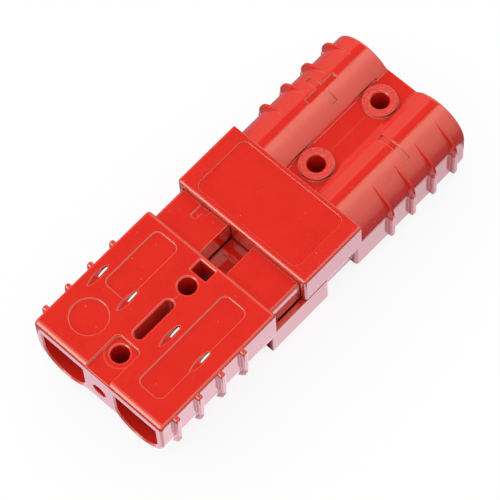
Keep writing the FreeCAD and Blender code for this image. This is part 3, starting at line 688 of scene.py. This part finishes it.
def make_floor():
    """Lays one large quad under the part."""
    mesh = bpy.data.meshes.new("studio_floor")
    corners = [(-1, -1), (1, -1), (1, 1), (-1, 1)]
    corners = [(x * FLOOR_HALF, y * FLOOR_HALF, 0.0) for x, y in corners]
    mesh.from_pydata(corners, [], [(0, 1, 2, 3)])
    mesh.materials.append(studio_floor())
    link(bpy.data.objects.new("studio_floor", mesh))


make_floor()

# Studio surroundings. In gloss, a long soft box runs overhead on the -Y side and a dimmer
# panel on the +Y side, with a dark slot between them, which closes towards both ends. Each row
# gives an angle in degrees from straight up towards +Y, and how bright the studio is there.
SKY = (
    (-90, 0.60),
    (-82, 0.80),
    (-62, 1.05),
    (-45, 1.10),
    (-31, 1.25),
    (-20, 1.45),
    (-10, 1.75),
    (5, 1.75),
    (14, 0.04),
    (36, 0.04),
    (40, 0.50),
    (90, 0.30),
)
SKY_TOP = 1.75
SKY_TINT = (0.66, 1.0, 0.80, 1.0)
SLOT_X = (0.12, 0.50)
SKY_SOFT = 0.1
SLOT_END_GLOW = 1.0

# A bright lamp past the near end, by the x and y of the direction towards it
LAMP_GLOW = 4.5
LAMP_X = (-0.60, -0.45)
LAMP_Y = (0.12, 0.48)

# Light on matt surfaces: from all round, from overhead and from the +Y side
DIFFUSE_LEVEL = 0.60
DIFFUSE_OVERHEAD = 0.36
DIFFUSE_SIDE = 1.05


def glossy_studio(look, x, y, z):
    """The surroundings as gloss sees them: the table of angles, the slot's ends and the lamp."""
    share = look.ranged(look.math("ARCTAN2", y, z), -math.pi / 2, math.pi / 2)
    ramp = look.add("ShaderNodeValToRGB", Fac=share)
    elements = ramp.color_ramp.elements
    elements.remove(elements[1])
    for degrees, value in SKY:
        place = (degrees + 90) / 180
        element = elements[0] if place == 0 else elements.new(place)
        element.color = (value / SKY_TOP,) * 3 + (1.0,)
    ends = look.opposite(look.within(x, *SLOT_X, SKY_SOFT))
    sky = look.product(ramp.outputs["Color"], SKY_TOP)
    boxes = look.math("MAXIMUM", sky, look.product(ends, SLOT_END_GLOW))
    near_end = look.ranged(x, *LAMP_X, 1.0, 0.0)
    lamp = look.product(near_end, look.within(y, *LAMP_Y, SKY_SOFT), LAMP_GLOW)
    glow = look.math("MAXIMUM", boxes, lamp)
    return look.add("ShaderNodeBackground", Color=SKY_TINT, Strength=glow)


def matt_studio(look, y, z):
    """The surroundings as matt surfaces are lit by them."""
    overhead = look.product(look.math("MAXIMUM", z, 0.0), DIFFUSE_OVERHEAD)
    sideways = look.product(look.math("MAXIMUM", y, 0.0), DIFFUSE_SIDE)
    level = look.math("ADD", look.math("ADD", overhead, sideways), DIFFUSE_LEVEL)
    return look.add("ShaderNodeBackground", Color=WHITE, Strength=level)


def make_world():
    """White to the eye, with one studio for gloss and a plainer one for matt surfaces."""
    world = bpy.data.worlds.new("studio")
    bpy.context.scene.world = world
    look = Shading(world)
    look.nodes.clear()
    x, y, z = look.split(look.nodes.new("ShaderNodeTexCoord").outputs["Generated"])
    path = look.nodes.new("ShaderNodeLightPath")
    white = look.add("ShaderNodeBackground", Color=WHITE, Strength=1.0)
    seen = matt_studio(look, y, z)
    seen = look.blend(path.outputs["Is Glossy Ray"], seen, glossy_studio(look, x, y, z))
    seen = look.blend(path.outputs["Is Camera Ray"], seen, white)
    look.add("ShaderNodeOutputWorld", Surface=seen.outputs[0])


make_world()

# Camera at the photograph's viewing angle
CAMERA_PLACE = Vector((-0.189405, -0.203071, 0.583675))
CAMERA_RIGHT = Vector((0.6785, -0.7337, -0.0369))
CAMERA_BACK = Vector((-0.2931, -0.3164, 0.9022))
CAMERA_LENS = 226.73
CAMERA_SENSOR = 36.0
CAMERA_CLIP = 0.01


def make_camera():
    """Places the scene's camera by its right and backward directions."""
    data = bpy.data.cameras.new("camera")
    data.lens = CAMERA_LENS
    data.sensor_width = CAMERA_SENSOR
    data.clip_start = CAMERA_CLIP
    camera = link(bpy.data.objects.new("camera", data))
    back = CAMERA_BACK.normalized()
    up = back.cross(CAMERA_RIGHT).normalized()
    right = up.cross(back)
    turn = Matrix((right, up, back)).transposed().to_4x4()
    camera.matrix_world = Matrix.Translation(CAMERA_PLACE) @ turn
    bpy.context.scene.camera = camera


make_camera()
bpy.context.scene.view_settings.view_transform = "Standard"
